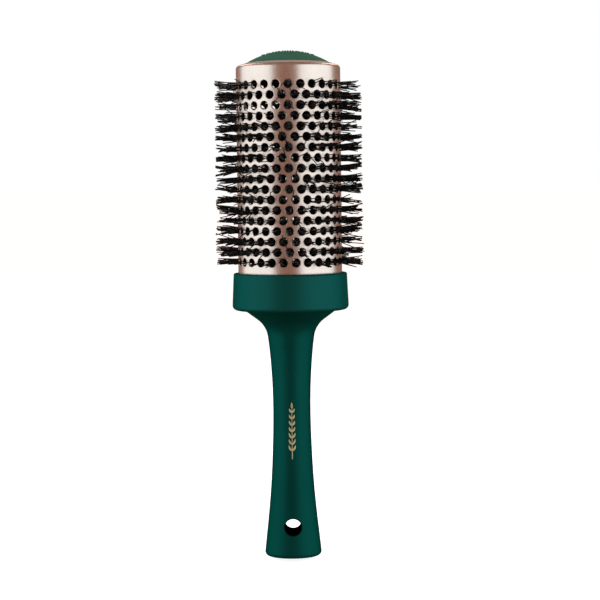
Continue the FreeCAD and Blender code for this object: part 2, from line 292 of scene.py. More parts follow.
@dataclass(frozen=True)
class SoftTouch(Finish):
    """Satin coating over moulded plastic: fine pimples, slight mottling and, if given, pearl.

    A collar height paints light on the collar: from there up the coating is painted a little lighter.
    A bore radius paints shade into the bore of the hang hole: near black and without pearl, fading
    out over the hole's rim.
    """

    gloss: float = 0.5
    gloss_tint: Colour = (1.0, 1.0, 1.0)
    pearl: float = 0.0
    pimple_mm: float = 0.22
    mottle_mm: float = 26.0
    mottle_share: float = 0.8
    # Painted light: from collar_height_mm up the coating is painted lighter, where more light falls
    # on the collar.
    collar_height_mm: float = 0.0
    collar_blend_mm: float = 1.0
    painted_collar_light_colour: Colour = (0.009, 0.096, 0.080)
    # Painted shade: the bore of the hang hole is painted near black, fading out over its rim.
    bore_height_mm: float = 0.0
    bore_radius_mm: float = 0.0
    bore_shade_fade: Pair = (0.99, 1.18)
    bore_painted_shade_colour: Colour = (0.0008, 0.002, 0.0018)

    def build(self) -> bpy.types.Material:
        """Make the material.

        Returns:
            A new material with this finish.
        """
        graph = FinishGraph(self.name)
        mottle = graph.noise(self.mottle_mm, detail=3.0)
        speck = graph.noise(self.pimple_mm, detail=1.0)
        blotch = mottle * self.mottle_share + speck * (1 - self.mottle_share)
        coat = graph.mix_colour(blotch.between(0.25, 0.75), self.shade, self.colour)
        # Painted light: the collar is mixed towards a lighter green for the light that falls on it.
        if self.collar_height_mm:
            painted_collar_light_mask = graph.z.between((self.collar_height_mm - self.collar_blend_mm) * MM,
                                     (self.collar_height_mm + self.collar_blend_mm) * MM)
            coat = graph.mix_colour(painted_collar_light_mask, coat, self.painted_collar_light_colour)
        # Painted shade: near black in the hang hole's bore, fading out over its rim; the pearl is
        # taken out there too.
        beyond_bore_shade: Any = 1.0
        if self.bore_radius_mm:
            rise = graph.z - self.bore_height_mm * MM
            away = (graph.x * graph.x + rise * rise).maths("SQRT")
            edge = self.bore_radius_mm * MM
            beyond_bore_shade = away.between(edge * self.bore_shade_fade[0], edge * self.bore_shade_fade[1])
            coat = graph.mix_colour(beyond_bore_shade, self.bore_painted_shade_colour, coat)
        graph.feed(
            Base_Color=coat,
            Roughness=graph.wander(self.roughness, (mottle, 0.10), (speck, 0.06)),
            Normal=graph.bump(speck, depth_mm=0.012, strength=0.6),
            IOR=1.46,
            Metallic=beyond_bore_shade * self.pearl,
            Specular_IOR_Level=self.gloss,
            Specular_Tint=opaque(self.gloss_tint),
        )
        return graph.material


@dataclass(frozen=True)
class SatinMetal(Finish):
    """Tinted aluminium with a fine blasted grain, lacquered outside; inside it is rougher and painted
    dark as shade.
    """

    # Painted shade: the inner wall's colour stands for the shade inside the tube.
    inside: Colour
    inner_radius_mm: float
    inside_roughness: float = 0.25
    grain_mm: float = 0.33
    grain_share: float = 0.75

    def build(self) -> bpy.types.Material:
        """Make the material.

        Returns:
            A new material with this finish.
        """
        graph = FinishGraph(self.name)
        radius = (graph.x * graph.x + graph.y * graph.y).maths("SQRT")
        outside = radius > self.inner_radius_mm * MM
        grain = graph.noise(self.grain_mm)
        cloud = graph.noise(9.0, stretch=(1, 1, 2.5))
        speckle = (grain * self.grain_share + cloud * (1 - self.grain_share)).between(0.32, 0.66)
        skin = graph.mix_colour(speckle, self.shade, self.colour)
        rough = graph.wander(self.roughness, (grain, 0.16), (cloud, 0.06))
        # Painted shade: inside the inner radius the wall is painted dark, as the tube's shaded
        # inside.
        graph.feed(
            Base_Color=graph.mix_colour(outside, self.inside, skin),
            Roughness=rough + (1 - outside) * self.inside_roughness,
            Normal=graph.bump(grain, depth_mm=0.010, strength=0.55),
            Metallic=1.0,
        )
        return graph.material


@dataclass(frozen=True)
class Nylon(Finish):
    """Black extruded filament, faintly brown, with a weak sheen that changes along each strand."""

    gloss: float = 0.25

    def build(self) -> bpy.types.Material:
        """Make the material.

        Returns:
            A new material with this finish.
        """
        graph = FinishGraph(self.name)
        strand = graph.noise(1.1, detail=1.0)
        graph.feed(
            Base_Color=graph.mix_colour(strand.between(0.3, 0.7), self.shade, self.colour),
            Roughness=graph.wander(self.roughness, (strand, 0.2)),
            Specular_IOR_Level=self.gloss,
            IOR=1.5,
        )
        return graph.material


@dataclass(frozen=True)
class DrawnSteel(Finish):
    """Drawn wire: long fine scratches along Z and dull patches."""

    def build(self) -> bpy.types.Material:
        """Make the material.

        Returns:
            A new material with this finish.
        """
        graph = FinishGraph(self.name)
        scratch = graph.noise(0.15, stretch=(1, 1, 14))
        dull = graph.noise(4.0)
        graph.feed(
            Base_Color=graph.mix_colour(dull, self.shade, self.colour),
            Roughness=graph.wander(self.roughness, (scratch, 0.2), (dull, 0.1)),
            Normal=graph.bump(scratch, depth_mm=0.006, strength=0.5),
            Metallic=1.0,
        )
        return graph.material


@dataclass(frozen=True)
class GoldFoil(Finish):
    """Hot-stamped foil: pale, half metallic and slightly uneven."""

    metallic: float = 0.4

    def build(self) -> bpy.types.Material:
        """Make the material.

        Returns:
            A new material with this finish.
        """
        graph = FinishGraph(self.name)
        uneven = graph.noise(0.9, detail=3.0)
        graph.feed(
            Base_Color=graph.mix_colour(uneven.between(0.3, 0.7), self.shade, self.colour),
            Roughness=graph.wander(self.roughness, (uneven, 0.25)),
            Normal=graph.bump(uneven, depth_mm=0.008, strength=0.4),
            Metallic=self.metallic,
        )
        return graph.material


# ------------------------------------------------------------------ geometry node helpers


class GeometryGraph(Graph):
    """A geometry node tree with named inputs, run on an object and turned into a plain mesh."""

    SOCKET_KINDS = {int: "NodeSocketInt", float: "NodeSocketFloat",
                    type(None): "NodeSocketMaterial"}

    def __init__(self, name: str, sockets: dict[str, int | float | None]) -> None:
        """Make the tree with a Geometry input and these named inputs.

        Args:
            name: the tree's name.
            sockets: by input name, its default: a whole number, a float, or None for a material.
        """
        super().__init__(bpy.data.node_groups.new(name, "GeometryNodeTree"))
        face = self.tree.interface
        face.new_socket("Geometry", in_out="INPUT", socket_type="NodeSocketGeometry")
        for label, default in sockets.items():
            kind = self.SOCKET_KINDS[type(default)]
            socket = face.new_socket(label, in_out="INPUT", socket_type=kind)
            if default is not None:
                socket.default_value = default
        face.new_socket("Geometry", in_out="OUTPUT", socket_type="NodeSocketGeometry")
        self.entry = self.tree.nodes.new("NodeGroupInput")

    def given(self, label: str) -> Signal:
        """One of the tree's inputs."""
        return Signal(self, self.entry, label)

    def finish(self, geometry: Signal) -> None:
        """End the tree in Realize Instances and Set Material.

        Args:
            geometry: what the tree has made.
        """
        realised = self.node("GeometryNodeRealizeInstances", inputs={0: geometry})
        smooth = self.node("GeometryNodeSetShadeSmooth", inputs={0: realised})
        dressed = self.node("GeometryNodeSetMaterial",
                            inputs={"Geometry": smooth, "Material": self.given("Material")})
        self.node("NodeGroupOutput", inputs={"Geometry": dressed})

    def run(self, name: str, mesh: bpy.types.Mesh, values: dict[str, Any]) -> bpy.types.Object:
        """Run the tree on a mesh and return a plain mesh object with the result.

        Args:
            name: the new object's name.
            mesh: the mesh that the modifier starts from.
            values: the named inputs to set.

        Returns:
            A linked object at the origin with the evaluated mesh and no modifier.
        """
        carrier = bpy.data.objects.new(name + "_carrier", mesh)
        bpy.context.collection.objects.link(carrier)
        modifier = carrier.modifiers.new("build", "NODES")
        modifier.node_group = self.tree
        for item in self.tree.interface.items_tree:
            if item.in_out == "INPUT" and item.name in values:
                modifier[item.identifier] = values[item.name]
        depsgraph = bpy.context.evaluated_depsgraph_get()
        plain = bpy.data.meshes.new_from_object(carrier.evaluated_get(depsgraph), depsgraph=depsgraph)
        bpy.data.objects.remove(carrier)
        plain.name = name
        made = bpy.data.objects.new(name, plain)
        bpy.context.collection.objects.link(made)
        return made

    def position(self, x: Any, y: Any, z: Any) -> Signal:
        """A vector from three values."""
        return self.node("ShaderNodeCombineXYZ", inputs={0: x, 1: y, 2: z})

    def chance(self, low: float, high: float, identity: Signal, draw: Draw) -> Signal:
        """A random number for each identity, the same on every run.

        Args:
            low: its least value.
            high: its greatest value.
            identity: what shares one number.
            draw: what the number is for; its value is added to the tree's Seed.

        Returns:
            The random number.
        """
        seed = self.given("Seed") + draw.value
        return self.node("FunctionNodeRandomValue", {"data_type": "FLOAT"},
                         {2: low, 3: high, "ID": identity, "Seed": seed}, 1)


def adopt(piece: bpy.types.Object, slot: Slot, *nodes: str) -> None:
    """Make a piece part of the brush, and log it.

    Args:
        piece: the new object, which rides on the brush's one body.
        slot: the record's slot for the piece; not used.
        nodes: the frame's nodes that it stands for.
    """
    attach(piece, BODY)
    if nodes:
        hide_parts(*nodes)
    LOG.info("%s: %d faces", piece.name, len(piece.data.polygons))


def dress_node(frame: dict[str, Any], node: str, material: bpy.types.Material) -> None:
    """Put a finish on one of the frame's own nodes.

    Args:
        frame: the loaded frame.
        node: the node's name.
        material: the finish for each of its slots.
    """
    for slot in frame["nodes"][node].material_slots:
        slot.material = material


# ------------------------------------------------------------------ sub-assemblies


@dataclass
class Barrel:
    """The perforated metal tube with its shoulder and spun-in lip."""

    foot: float
    top: float
    radius: float
    lip_radius: float
    first_row: float
    row_pitch: float
    wall: float = 1.0 * MM
    rows: int = 18
    holes: int = 27
    hole_radius: float = 2.1 * MM
    rim_radius: float = 0.28 * MM
    lip_angle: float = math.radians(17)
    lip_nick: float = 0.15 * MM
    shoulder_radius: float = 2.0 * MM
    shoulder_margin: float = 1.6 * MM
    foot_margin: float = 1.4 * MM
    sides_across: int = 8
    sides_up: int = 4
    cell_weld: float = 0.002 * MM
    shell_weld: float = 0.003 * MM

    @property
    def cell_width(self) -> float:
        """Length round the barrel that one hole takes."""
        return 2 * math.pi * self.radius / self.holes

    def phase(self, row: int) -> float:
        """Angle of a row's first hole; the first row has a hole at the front."""
        return -math.pi / 2 + (row % 2) * math.pi / self.holes

    def row_height(self, row: int) -> float:
        """Height of a row of holes, with row 0 next to the end cap."""
        return self.first_row - row * self.row_pitch

    def cell_frame(self) -> list[Pair]:
        """Walk round the flat cell's outline.

        Returns:
            (x, z) corners from the lower left, anticlockwise.
        """
        across, up = self.cell_width / 2, self.row_pitch / 2
        outline = []
        for step in range(self.sides_across):
            outline.append((-across + 2 * across * step / self.sides_across, -up))
        for step in range(self.sides_up):
            outline.append((across, -up + 2 * up * step / self.sides_up))
        for step in range(self.sides_across):
            outline.append((across - 2 * across * step / self.sides_across, up))
        for step in range(self.sides_up):
            outline.append((-across, up - 2 * up * step / self.sides_up))
        return outline

    def cell_mesh(self) -> bpy.types.Mesh:
        """Make one flat cell of wall with its hole: X along the wall, Y outwards, Z up.

        Returns:
            The cell, open along its outline, where it meets its neighbours.
        """
        outline = self.cell_frame()
        angles = [math.atan2(z, x) for x, z in outline]
        rim = self.rim_radius
        slope = math.sqrt(0.5)
        # (radius of the ring, or None for the outline; its place outwards from the skin)
        rings = [
            (None, 0.0),
            (self.hole_radius + rim * 1.5, 0.0),
            (self.hole_radius + rim, 0.0),
            (self.hole_radius + rim * (1 - slope), -rim * (1 - slope)),
            (self.hole_radius, -rim),
            (self.hole_radius, -self.wall + rim / 2),
            (self.hole_radius + rim / 2, -self.wall),
            (None, -self.wall),
        ]
        mesh = bmesh.new()
        loops = []
        for ring_radius, depth in rings:
            if ring_radius is None:
                places = [Vector((x, depth, z)) for x, z in outline]
            else:
                places = [Vector((ring_radius * math.cos(a), depth, ring_radius * math.sin(a)))
                          for a in angles]
            loops.append([mesh.verts.new(place) for place in places])
        for outer, inner in zip(loops, loops[1:]):
            for step in range(len(outer)):
                following = (step + 1) % len(outer)
                mesh.faces.new((outer[step], outer[following], inner[following], inner[step]))
        return to_mesh(mesh, "barrel_cell")

    def perforation_tree(self) -> GeometryGraph:
        """Make the tree that repeats a flat cell in staggered rows and wraps them round the axis.

        Returns:
            The tree, whose Geometry input is the cell.
        """
        graph = GeometryGraph("perforated_wall", {
            "Material": None, "Rows": 1, "Holes": 1, "Row Pitch": 0.0, "First Row": 0.0,
            "Radius": 1.0,
        })
        holes = graph.given("Holes")
        width = 2 * math.pi * graph.given("Radius") / holes
        points = graph.node("GeometryNodePoints", inputs={"Count": graph.given("Rows") * holes})
        index = graph.node("GeometryNodeInputIndex")
        row = (index / holes + WHOLE_NUDGE).maths("FLOOR")
        hole = index - row * holes
        stagger = row.maths("MODULO", 2.0) * 0.5
        spot = graph.position((hole + stagger) * width, 0.0,
                              graph.given("First Row") - row * graph.given("Row Pitch"))
        placed = graph.node("GeometryNodeSetPosition", inputs={"Geometry": points, "Position": spot})
        cells = graph.node("GeometryNodeInstanceOnPoints",
                           inputs={"Points": placed, "Instance": graph.given("Geometry")})
        sheet = graph.node("GeometryNodeRealizeInstances", inputs={0: cells})
        here = graph.node("ShaderNodeSeparateXYZ",
                          inputs={0: graph.node("GeometryNodeInputPosition")})
        angle = here / graph.given("Radius") - math.pi / 2
        reach = here.output(1) + graph.given("Radius")
        wrapped = graph.position(angle.maths("COSINE") * reach, angle.maths("SINE") * reach,
                                 here.output(2))
        tube = graph.node("GeometryNodeSetPosition", inputs={"Geometry": sheet, "Position": wrapped})
        graph.finish(graph.node("GeometryNodeMergeByDistance",
                                inputs={"Geometry": tube, "Distance": self.cell_weld}))
        return graph

    def lip_profile(self) -> list[Pair]:
        """Draw the half-section above the holes.

        Returns:
            (radius, height) points up the outside, over the shoulder and lip, and down inside.
        """
        start = self.row_height(0) + self.row_pitch / 2
        slope = math.tan(self.lip_angle)
        corner = self.top - (self.radius - self.lip_radius) * slope
        drop = self.wall / math.cos(self.lip_angle)
        inner_radius = self.radius - self.wall
        inner_corner = corner - drop + self.wall * slope
        nick = self.lip_nick
        profile = [(self.radius, start), (self.radius, start + self.shoulder_margin)]
        profile += corner_arc((self.radius, corner), self.shoulder_radius, self.lip_angle)
        # Points close to both ends keep the shading of the flat lip flat.
        for radius in (profile[-1][0] - nick * 2, self.lip_radius + nick * 4,
                       self.lip_radius + nick * 2):
            profile.append((radius, self.top - (radius - self.lip_radius) * slope))
        profile += [
            (self.lip_radius + nick * 0.3, self.top - nick * 0.3),
            (self.lip_radius, self.top - nick * 1.3),
            (self.lip_radius, self.top - drop),
        ]
        inner_arc = corner_arc((inner_radius, inner_corner), self.shoulder_radius - self.wall,
                               self.lip_angle)
        profile += list(reversed(inner_arc))
        profile.append((inner_radius, start))
        return profile

    def foot_profile(self) -> list[Pair]:
        """Draw the half-section below the holes.

        Returns:
            (radius, height) points down the inside, round the foot, and up outside.
        """
        start = self.row_height(self.rows - 1) - self.row_pitch / 2
        inner_radius = self.radius - self.wall
        return [(inner_radius, start), (inner_radius, self.foot), (self.radius, self.foot),
                (self.radius, start - self.foot_margin), (self.radius, start)]

    def build(self, material: bpy.types.Material) -> bpy.types.Object:
        """Make the whole barrel as one closed shell.

        Args:
            material: the barrel's finish.

        Returns:
            The object, not yet riding.
        """
        values = {"Material": material, "Rows": self.rows, "Holes": self.holes,
                  "Row Pitch": self.row_pitch, "First Row": self.first_row, "Radius": self.radius}
        shell = self.perforation_tree().run("barrel_shell", self.cell_mesh(), values)
        mesh = bmesh.new()
        mesh.from_mesh(shell.data)
        steps = self.holes * self.sides_across
        # Columns start on a hole's middle line, so that they meet the corners of the cells.
        first = self.phase(0)
        lathe(mesh, self.lip_profile(), steps, first)
        lathe(mesh, self.foot_profile(), steps, first)
        bmesh.ops.remove_doubles(mesh, verts=mesh.verts, dist=self.shell_weld)
        bmesh.ops.recalc_face_normals(mesh, faces=mesh.faces)
        for face in mesh.faces:
            face.smooth = True
            face.material_index = 0
        mesh.to_mesh(shell.data)
        mesh.free()
        shell.data.materials.clear()
        shell.data.materials.append(material)
        return shell


def corner_arc(corner: Pair, radius: float, lean: float,
               steps: int = 7) -> list[Pair]:
    """Arc that rounds the corner between an upright wall and a cone leaning inwards.

    Args:
        corner: (radius, height) where the two would meet.
        radius: the arc's radius.
        lean: the cone's rise above level, in radians.
        steps: chords of the arc.

    Returns:
        Points from the wall to the cone.
    """
    turn = math.pi / 2 - lean
    tangent = radius * math.tan(turn / 2)
    centre = (corner[0] - radius, corner[1] - tangent)
    return [(centre[0] + radius * math.cos(turn * step / steps),
             centre[1] + radius * math.sin(turn * step / steps)) for step in range(steps + 1)]


def lathe(mesh: bmesh.types.BMesh, profile: Sequence[Pair], steps: int,
          start: float) -> None:
    """Turn an open half-section once round Z into quads.

    Args:
        mesh: the mesh that the quads are added to.
        profile: (radius, height) points.
        steps: columns round the axis.
        start: angle of the first column.
    """
    columns = []
    for step in range(steps):
        angle = start + 2 * math.pi * step / steps
        columns.append([mesh.verts.new((r * math.cos(angle), r * math.sin(angle), z))
                        for r, z in profile])
    for step, column in enumerate(columns):
        following = columns[(step + 1) % steps]
        for low in range(len(profile) - 1):
            mesh.faces.new((column[low], following[low], following[low + 1], column[low + 1]))


def to_mesh(mesh: bmesh.types.BMesh, name: str) -> bpy.types.Mesh:
    """Turn a bmesh into a mesh and free it.

    Args:
        mesh: the bmesh, which can't be used afterwards.
        name: the new mesh's name.

    Returns:
        The new mesh.
    """
    made = bpy.data.meshes.new(name)
    mesh.to_mesh(made)
    mesh.free()
    return made


@dataclass
class Bristles:
    """Rows of nylon filaments that leave the twisted core and fan out through the holes.

    The wires pinch the filaments in a spiral sheet, which passes dense_height on the +X side. Holes
    near a second spiral, which passes thin_height there, hold fewer filaments. So do those of a worn
    patch near the cap, on the -X side.
    """

    barrel: Barrel
    tip_radius: float
    core_radius: float = 2.2 * MM
    filament_radius: float = 0.25 * MM
    filament_sides: int = 5
    filament_points: int = 6
    per_hole: int = 8
    twist_lead: float = 20.5 * MM
    dense_height: float = 204.3 * MM
    exit_share: float = 0.4
    shorter: float = 5.0 * MM
    shorter_power: float = 4.0
    hole_shorter: float = 0.9 * MM
    lean: float = 0.10
    stray_from: float = 0.94
    stray_lean: float = 4.0
    stray_swing: float = 3.0
    hole_lean: float = 0.12
    hole_swing: float = 0.08
    sheet_lean: float = 0.016 / MM
    gather: float = 0.9
    bow: float = 0.3 * MM
    thin_pitch: float = 19.4 * MM
    thin_height: float = 219.8 * MM
    thin_reach: Pair = (2.0 * MM, 5.0 * MM)
    thin_density: float = 0.46
    added_density: float = 0.52
    worn_cosine: float = -0.50
    worn_reach: float = 0.30
    worn_above: float = 221.0 * MM
    worn_loss: float = 0.85
    seed: int = 4
    seed_step: int = 20

    def tree(self) -> GeometryGraph:
        """Make the tree for one row of filaments, which are thin tubes.

        Returns:
            The tree, which makes nothing of its Geometry input.
        """
        graph = GeometryGraph("bristle_row", {
            "Material": None, "Holes": 1, "Filaments": 1, "Row Height": 0.0, "Row Phase": 0.0,
            "Core Radius": 0.0, "Barrel Radius": 0.0, "Hole Room": 0.0, "Tip Radius": 0.0,
            "Filament Radius": 0.0, "Half Lead": 1.0, "Dense Height": 0.0, "Thin Pitch": 1.0,
            "Thin Height": 0.0, "Seed": 0,
        })
        filaments = graph.given("Filaments")
        points = graph.node("GeometryNodePoints",
                            inputs={"Count": graph.given("Holes") * filaments})
        line = graph.node("GeometryNodeMeshLine",
                          inputs={"Count": self.filament_points, "Offset": (0.0, 0.0, 1.0)})
        strand = graph.node("GeometryNodeMeshToCurve", inputs={0: line})
        copies = graph.node("GeometryNodeInstanceOnPoints",
                            inputs={"Points": points, "Instance": strand})
        strands = graph.node("GeometryNodeRealizeInstances", inputs={0: copies})

        number = graph.node("GeometryNodeFieldOnDomain", {"domain": "CURVE", "data_type": "INT"},
                            {0: graph.node("GeometryNodeInputIndex")})
        hole = (number / filaments + WHOLE_NUDGE).maths("FLOOR")
        angle = graph.given("Row Phase") + hole * (2 * math.pi) / graph.given("Holes")
        along = graph.node("GeometryNodeSplineParameter")

        # How far above the spiral sheet of pinched filaments this hole is.
        row_height = graph.given("Row Height")
        half_lead = graph.given("Half Lead")
        sheet = graph.given("Dense Height") - angle * half_lead / math.pi
        turns = (row_height - sheet) / half_lead
        off = (turns - turns.maths("ROUND")) * half_lead
        # How far this hole is from the spiral where the rows are thin.
        thin_pitch = graph.given("Thin Pitch")
        thin = (row_height - graph.given("Thin Height")) / thin_pitch
        thin = thin + angle / (2 * math.pi)
        away = (thin - thin.maths("ROUND")).maths("ABSOLUTE") * thin_pitch

        # Shares of the way from the core to the hole, and from the hole to the tip.
        inside = (along / self.exit_share).maths("MINIMUM", 1.0)
        outside = ((along - self.exit_share) / (1 - self.exit_share)).maths("MAXIMUM", 0.0)
        shorter = graph.chance(0.0, 1.0, number, Draw.LENGTH) ** self.shorter_power * self.shorter
        hole_short = graph.chance(0.0, self.hole_shorter, hole, Draw.HOLE_LENGTH)
        tip = graph.given("Tip Radius") - shorter - hole_short
        barrel = graph.given("Barrel Radius")
        core = graph.given("Core Radius")
        reach = core + (barrel - core) * inside + (tip - barrel) * outside

        # Where in the hole the filament sits, and how it bends once it is out.
        room = graph.given("Hole Room")
        around = graph.chance(0.0, 2 * math.pi, number, Draw.PLACE_ANGLE)
        spread = (graph.chance(0.0, 1.0, number, Draw.PLACE_REACH) ** 0.5) * room
        side = around.maths("COSINE") * spread
        rise = around.maths("SINE") * spread
        beyond = (tip - barrel) * outside
        hole_lean = (graph.chance(-self.hole_lean, self.hole_lean, hole, Draw.HOLE_LEAN)
                     + off * self.sheet_lean)
        stray = graph.chance(0.0, 1.0, number, Draw.STRAY) > self.stray_from
        lean_up = (graph.chance(-self.lean, self.lean, number, Draw.LEAN)
                   * (stray * self.stray_lean + 1.0) + hole_lean)
        hole_swing = graph.chance(-self.hole_swing, self.hole_swing, hole, Draw.HOLE_SWING)
        lean_side = (graph.chance(-self.lean, self.lean, number, Draw.SWING)
                     * (stray * self.stray_swing + 1.0) + hole_swing)
        gather = 1 - outside * graph.chance(0.0, self.gather, hole, Draw.GATHER)
        bow = outside * outside * graph.chance(-self.bow, self.bow, number, Draw.BOW)
        up = (off * -1.0) * (1 - inside) + rise * inside * gather + beyond * lean_up + bow
        across = side * inside * gather + beyond * lean_side

        cosine, sine = angle.maths("COSINE"), angle.maths("SINE")
        spot = graph.position(cosine * reach - sine * across, sine * reach + cosine * across,
                              row_height + up)
        shaped = graph.node("GeometryNodeSetPosition", inputs={"Geometry": strands, "Position": spot})

        # The share of the filaments that are kept.
        off_patch = (cosine - self.worn_cosine).maths("ABSOLUTE") > self.worn_reach
        worn = (1 - off_patch) * (row_height > self.worn_above)
        full = away.between(*self.thin_reach)
        density = (self.thin_density + full * self.added_density) * (1 - worn * self.worn_loss)
        missing = graph.chance(0.0, 1.0, number, Draw.MISSING) > density
        kept = graph.node("GeometryNodeDeleteGeometry", {"domain": "CURVE"},
                          {"Geometry": shaped, "Selection": missing})
        ring = graph.node("GeometryNodeCurvePrimitiveCircle",
                          inputs={"Resolution": self.filament_sides,
                                  "Radius": graph.given("Filament Radius")})
        graph.finish(graph.node("GeometryNodeCurveToMesh",
                                inputs={"Curve": kept, "Profile Curve": ring, "Fill Caps": True}))
        return graph

    def build(self, material: bpy.types.Material) -> list[bpy.types.Object]:
        """Make every row.

        Args:
            material: the filaments' finish.

        Returns:
            One object for each row, from the cap downwards.
        """
        graph = self.tree()
        rows = []
        for row in range(self.barrel.rows):
            values = {
                "Material": material,
                "Holes": self.barrel.holes,
                "Filaments": self.per_hole,
                "Row Height": self.barrel.row_height(row),
                "Row Phase": self.barrel.phase(row),
                "Core Radius": self.core_radius,
                "Barrel Radius": self.barrel.radius,
                "Hole Room": self.barrel.hole_radius - self.filament_radius * 1.6,
                "Tip Radius": self.tip_radius,
                "Filament Radius": self.filament_radius,
                "Half Lead": self.twist_lead / 2,
                "Dense Height": self.dense_height,
                "Thin Pitch": self.thin_pitch,
                "Thin Height": self.thin_height,
                "Seed": self.seed + row * self.seed_step,
            }
            name = "filaments_%02d" % (row + 1)
            # The tree makes its own geometry, so it starts from an empty mesh.
            rows.append(graph.run(name, bpy.data.meshes.new(name), values))
        return rows


@dataclass
class CapDots:
    """Raised dots in rings on the end cap's crown."""

    crown: float
    dome_radius: float
    rings: Sequence[tuple[float, int]] = (
        (0.0, 1), (2.6 * MM, 6), (5.2 * MM, 12), (7.8 * MM, 18), (10.4 * MM, 24), (13.0 * MM, 30))
    dot_radius: float = 0.5 * MM
    dot_height: float = 0.4 * MM

    def build(self, material: bpy.types.Material) -> bpy.types.Object:
        """Make the dots as low domes that are half sunk into the cap.

        Args:
            material: the cap's finish.

        Returns:
            The object, not yet riding.
        """
        mesh = bmesh.new()
        centre = Vector((0, 0, self.crown - self.dome_radius))
        for ring_radius, dots in self.rings:
            tilt = math.asin(ring_radius / self.dome_radius)
            for dot in range(dots):
                turn = 2 * math.pi * dot / dots
                place = (Matrix.Translation(centre) @ Matrix.Rotation(turn, 4, "Z")
                         @ Matrix.Rotation(tilt, 4, "Y")
                         @ Matrix.Translation((0, 0, self.dome_radius))
                         @ Matrix.Diagonal((self.dot_radius, self.dot_radius, self.dot_height, 1)))
                bmesh.ops.create_icosphere(mesh, subdivisions=2, radius=1.0, matrix=place)
        for face in mesh.faces:
            face.smooth = True
        made = bpy.data.objects.new("cap_dots", to_mesh(mesh, "cap_dots"))
        bpy.context.collection.objects.link(made)
        made.data.materials.append(material)
        return made


@dataclass
class Sprig:
    """Gold foil ornament on the front of the grip: an upright stem with paired leaves."""

    low: float = 51.2 * MM
    high: float = 80.2 * MM
    pairs: int = 7
    leaf_length: float = 3.3 * MM
    leaf_width: float = 1.05 * MM
    leaf_steps: int = 9
    narrowest: float = 0.06
    belly: float = 0.8
    lean: float = math.radians(52)
    curl: float = 0.45
    lowest_pair: float = 0.16
    pair_span: float = 0.76
    lowest_length: float = 1.06
    length_loss: float = 0.28
    stem_width: float = 0.45 * MM
    stem_taper: float = 0.45
    stem_steps: int = 24
    lift: float = 0.05 * MM
    ray_start: float = -0.1

    def ribbon(self, mesh: bmesh.types.BMesh, surface: BVHTree,
               path: Sequence[Pair], widths: Sequence[float]) -> None:
        """Add one closed strip of foil, ridged along its middle, laid on the grip.

        Args:
            mesh: the mesh that the strip is added to.
            surface: the grip that it lies on.
            path: (x, z) points of its middle.
            widths: its width at each point.
        """
        rings = []
        for step, ((x, z), width) in enumerate(zip(path, widths)):
            before, after = path[max(step - 1, 0)], path[min(step + 1, len(path) - 1)]
            along = Vector((after[0] - before[0], after[1] - before[1])).normalized()
            ring = []
            for side, lift in ((-1, -self.lift), (-1, self.lift * 0.5), (0, self.lift),
                               (1, self.lift * 0.5), (1, -self.lift)):
                start = Vector((x - along.y * side * width / 2, self.ray_start,
                                z + along.x * side * width / 2))
                place, normal = surface.ray_cast(start, Vector((0, 1, 0)))[:2]
                ring.append(mesh.verts.new(place + normal * lift))
            rings.append(ring)
        for ring, following in zip(rings, rings[1:]):
            for corner in range(len(ring)):
                beside = (corner + 1) % len(ring)
                mesh.faces.new((ring[corner], following[corner], following[beside], ring[beside]))
        mesh.faces.new(rings[0])
        mesh.faces.new(reversed(rings[-1]))

    def leaf(self, side: float, foot: float, lean: float, length: float) -> list[Pair]:
        """Middle line of a leaf that grows from the stem and curls upwards.

        Args:
            side: -1 or 1 for the side that it leans to, or 0 for an upright leaf.
            foot: height where it leaves the stem.
            lean: its lean from upright at the foot, in radians.
            length: its length.

        Returns:
            (x, z) points from foot to tip.
        """
        path = []
        for step in range(self.leaf_steps + 1):
            share = step / self.leaf_steps
            angle = lean * (1 - self.curl * share)
            path.append((side * math.sin(angle) * length * share,
                         foot + math.cos(angle) * length * share))
        return path

    def build(self, grip: bpy.types.Object, material: bpy.types.Material) -> bpy.types.Object:
        """Lay the ornament on the grip.

        Args:
            grip: the handle, which the foil follows.
            material: the foil's finish.

        Returns:
            The object, not yet riding.
        """
        solid = bmesh.new()
        solid.from_mesh(grip.data)
        surface = BVHTree.FromBMesh(solid)
        mesh = bmesh.new()
        blade = [max(self.narrowest, math.sin(math.pi * (step / self.leaf_steps) ** self.belly))
                 * self.leaf_width for step in range(self.leaf_steps + 1)]
        top = self.high - self.leaf_length
        stem = [(0.0, self.low + (top - self.low) * step / self.stem_steps)
                for step in range(self.stem_steps + 1)]
        taper = [self.stem_width * (1.0 - self.stem_taper * step / self.stem_steps)
                 for step in range(self.stem_steps + 1)]
        self.ribbon(mesh, surface, stem, taper)
        self.ribbon(mesh, surface, self.leaf(0.0, top, 0.0, self.leaf_length), blade)
        for pair in range(self.pairs):
            share = pair / (self.pairs - 1)
            foot = self.low + (top - self.low) * (self.lowest_pair + self.pair_span * share)
            length = self.leaf_length * (self.lowest_length - self.length_loss * share)
            for side in (-1.0, 1.0):
                self.ribbon(mesh, surface, self.leaf(side, foot, self.lean, length), blade)
        solid.free()
        bmesh.ops.recalc_face_normals(mesh, faces=mesh.faces)
        made = bpy.data.objects.new("grip_sprig", to_mesh(mesh, "grip_sprig"))
        bpy.context.collection.objects.link(made)
        made.data.materials.append(material)
        return made


